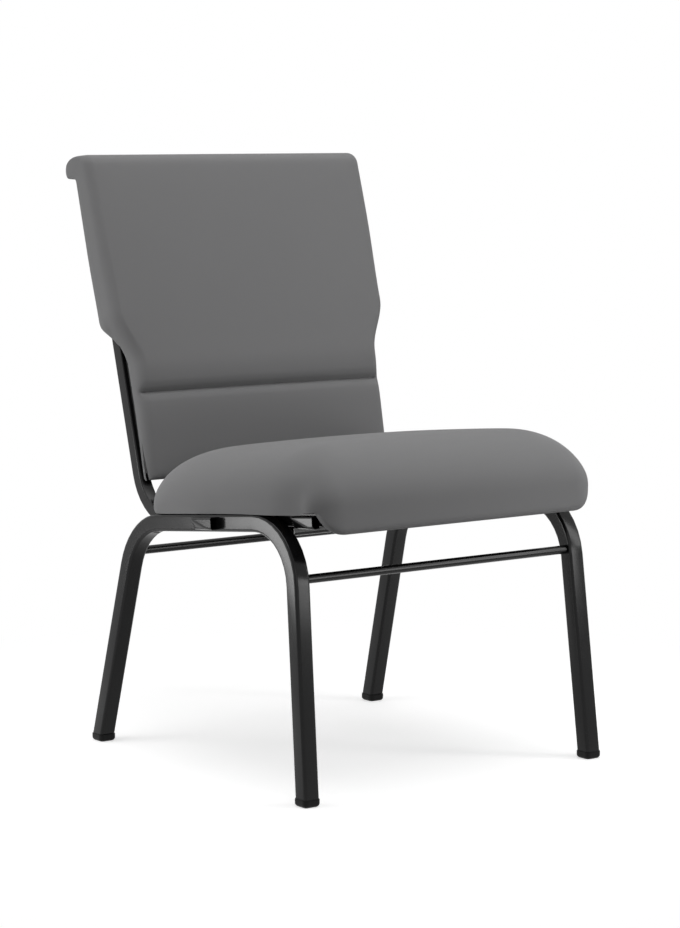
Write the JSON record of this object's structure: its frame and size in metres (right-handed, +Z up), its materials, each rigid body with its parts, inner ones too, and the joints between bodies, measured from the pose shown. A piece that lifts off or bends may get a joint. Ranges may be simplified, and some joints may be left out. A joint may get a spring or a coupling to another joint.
{
  "type": "choir chair",
  "caption": "Linking choir chair with a welded frame of bent square tube, a waterfall-front upholstered seat and a raked back with a rolled top.",
  "frame": {"origin": "centre of the footprint box, on the floor under the glides", "axes": "+Z up, -Y the way the sitter faces, +X to the sitter's left"},
  "size_m": [0.544, 0.649, 0.8834],
  "materials": {
    "frame": "semi-gloss black powder coat",
    "upholstery": "plain grey woven cover over foam",
    "plastic": "black moulded",
    "board": "plain plywood",
    "dust_cloth": "black dust cloth",
    "screws": "black zinc",
    "back_board": "plywood stained black"
  },
  "bodies": {
    "root": {"right_leg_frame": "frame", "left_leg_frame": "frame", "right_front_foot_glide": "plastic", "right_rear_foot_glide": "plastic", "left_front_foot_glide": "plastic", "left_rear_foot_glide": "plastic", "front_leg_bar": "frame", "rear_leg_bar": "frame", "right_seat_back_tube": "frame", "left_seat_back_tube": "frame", "right_seat_tube_plug": "plastic", "left_seat_tube_plug": "plastic", "front_crossmember": "frame", "rear_crossmember": "frame", "right_front_link_socket": "frame", "right_rear_link_socket": "frame", "left_front_link_socket": "frame", "left_rear_link_socket": "frame", "seat_board": "board", "seat_dust_cover": "dust_cloth", "seat_cushion": "upholstery", "back_cushion": "upholstery", "back_board": "back_board", "back_outer_panel": "upholstery", "right_seat_screw_1": "screws", "right_seat_screw_2": "screws", "left_seat_screw_1": "screws", "left_seat_screw_2": "screws", "right_back_screw_1": "screws", "right_back_screw_2": "screws", "left_back_screw_1": "screws", "left_back_screw_2": "screws"}
  },
  "joints": []
}
